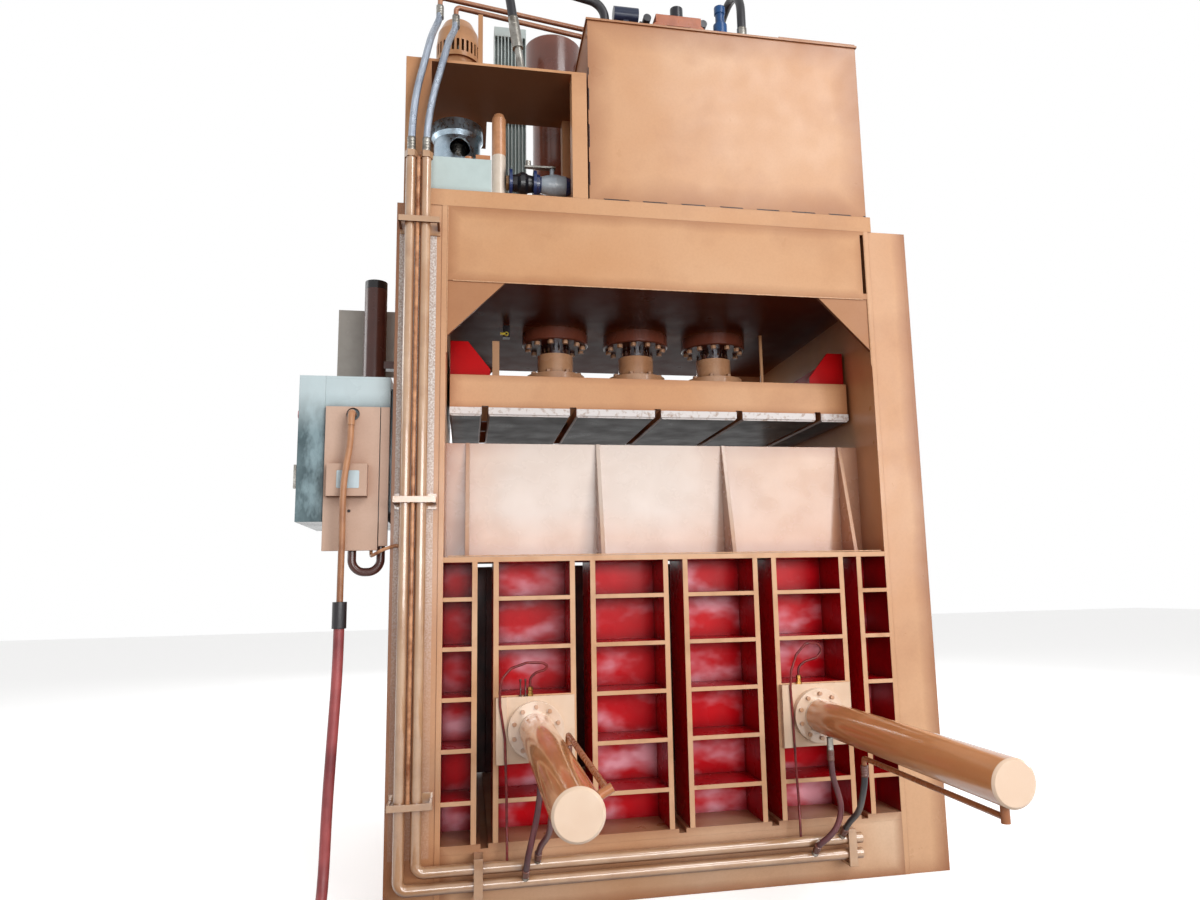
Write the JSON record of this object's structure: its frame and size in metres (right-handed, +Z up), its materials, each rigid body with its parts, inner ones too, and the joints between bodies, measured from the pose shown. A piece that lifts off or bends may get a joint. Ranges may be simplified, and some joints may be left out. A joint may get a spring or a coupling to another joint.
{
  "type": "recycling baler",
  "caption": "Vertical hydraulic baler: rams press a slotted platen between side frames; side cylinders push the bale out past a hinged door.",
  "frame": {"origin": "on the floor, midway between the side frames, under the axis of the middle ram", "axes": "+Z up, +X to the right as the lattice wall is faced, +Y from the lattice wall towards the bale door"},
  "size_m": [3.232, 3.4503, 4.9349],
  "materials": {
    "tan_paint": "gloss",
    "red_paint": "gloss",
    "brown_paint": "gloss",
    "bronze_paint": "gloss",
    "grey_paint": "gloss",
    "pale_grey": "satin",
    "blue_paint": "gloss",
    "chrome_rod": "polished",
    "bolt_steel": "zinc plated",
    "bare_aluminium": "cast",
    "hose_rubber": "matte",
    "braid_steel": "braided",
    "brass_fitting": "plain",
    "cable_sheath": "satin",
    "stop_red": "gloss"
  },
  "bodies": {
    "press": {"ball_valve": "brass_fitting", "bed": "tan_paint", "bell_housing": "bare_aluminium", "cabinet": "grey_paint", "cable_fittings": "hose_rubber", "cooler_motor": "pale_grey", "door_brackets": "tan_paint", "ejector_barrel_left": "bronze_paint", "ejector_barrel_right": "bronze_paint", "ejector_hoses": "hose_rubber", "ejector_mounts": "tan_paint", "frame_bolts": "bolt_steel", "hose_fittings": "bolt_steel", "lattice_wall": "tan_paint", "limit_switch": "hose_rubber", "link_pipes": "bronze_paint", "main_barrels": "brown_paint", "manifold": "blue_paint", "motor": "tan_paint", "motor_deck": "tan_paint", "pipe_clamps": "tan_paint", "pump": "bolt_steel", "riser_hoses": "braid_steel", "riser_inner": "tan_paint", "riser_outer": "tan_paint", "side_box": "tan_paint", "side_fittings": "brown_paint", "side_frame_left": "tan_paint", "side_frame_right": "tan_paint", "suction_line": "hose_rubber", "supply_coil": "cable_sheath", "supply_conduit": "cable_sheath", "supply_lead": "cable_sheath", "supply_plug": "blue_paint", "tank": "tan_paint", "tank_lid": "tan_paint", "terminal_box": "pale_grey", "thin_pipes": "bronze_paint", "top_beam": "tan_paint", "top_hoses": "hose_rubber", "unit_base": "tan_paint", "upper_wall": "tan_paint"},
    "platen": {"platen": "tan_paint", "platen_guides": "red_paint", "rod_collars": "tan_paint", "collar_bolts": "bolt_steel", "main_rods": "chrome_rod", "travel_markers": "bolt_steel"},
    "ejector_left": {"ejector_ram_left": "chrome_rod"},
    "ejector_right": {"ejector_ram_right": "chrome_rod"},
    "bale_door": {"bale_door": "tan_paint"},
    "lock_bar": {"lock_bar": "red_paint"},
    "switch_arm": {"switch_arm": "brass_fitting"},
    "valve_lever": {"valve_lever": "bolt_steel"},
    "rotor": {"rotor": "bolt_steel"},
    "cabinet_door": {"cabinet_door": "grey_paint", "stop_collar": "stop_red"},
    "cabinet_handle": {"cabinet_handle": "bolt_steel"},
    "stop_button": {"stop_button": "stop_red"}
  },
  "joints": [
    {"name": "platen_slide", "type": "slide", "parent": "press", "child": "platen", "axis": [0, 0, 1], "range_m": [-1.4, 0]},
    {"name": "ejector_left_slide", "type": "slide", "parent": "press", "child": "ejector_left", "axis": [0, 1, 0], "range_m": [0, 1.15]},
    {"name": "ejector_right_slide", "type": "slide", "parent": "press", "child": "ejector_right", "axis": [0, 1, 0], "range_m": [0, 1.15]},
    {"name": "bale_door_hinge", "type": "hinge", "parent": "press", "child": "bale_door", "pos_m": [-1.165, 0.915, 0.95], "axis": [0, 0, 1], "range_deg": [0, 110]},
    {"name": "lock_bar_hinge", "type": "hinge", "parent": "press", "child": "lock_bar", "pos_m": [1.19, 0.897, 0.95], "axis": [0, 1, 0], "range_deg": [0, 90]},
    {"name": "switch_arm_hinge", "type": "hinge", "parent": "press", "child": "switch_arm", "pos_m": [-0.803, -0.178, 2.918], "axis": [0, 1, 0], "range_deg": [0, 30], "stiffness_Nm_per_rad": 0.5},
    {"name": "valve_lever_turn", "type": "hinge", "parent": "press", "child": "valve_lever", "pos_m": [-0.575, -0.625, 3.734], "axis": [0, 0, 1], "range_deg": [0, 90]},
    {"name": "rotor_spin", "type": "hinge", "parent": "press", "child": "rotor", "pos_m": [-1.095, -0.215, 4.2], "axis": [0, 0, 1], "continuous": true},
    {"name": "cabinet_door_hinge", "type": "hinge", "parent": "press", "child": "cabinet_door", "pos_m": [-1.695, -0.184, 2.127], "axis": [0, 0, -1], "range_deg": [0, 110]},
    {"name": "cabinet_handle_turn", "type": "hinge", "parent": "cabinet_door", "child": "cabinet_handle", "pos_m": [-1.83, -0.745, 2.1275], "axis": [1, 0, 0], "range_deg": [0, 90]},
    {"name": "stop_button_push", "type": "slide", "parent": "cabinet_door", "child": "stop_button", "axis": [1, 0, 0], "range_m": [0, 0.004], "stiffness_N_per_m": 500}
  ],
  "couplings": [
    {"joint": "ejector_right_slide", "follows": "ejector_left_slide", "ratio": 1}
  ]
}
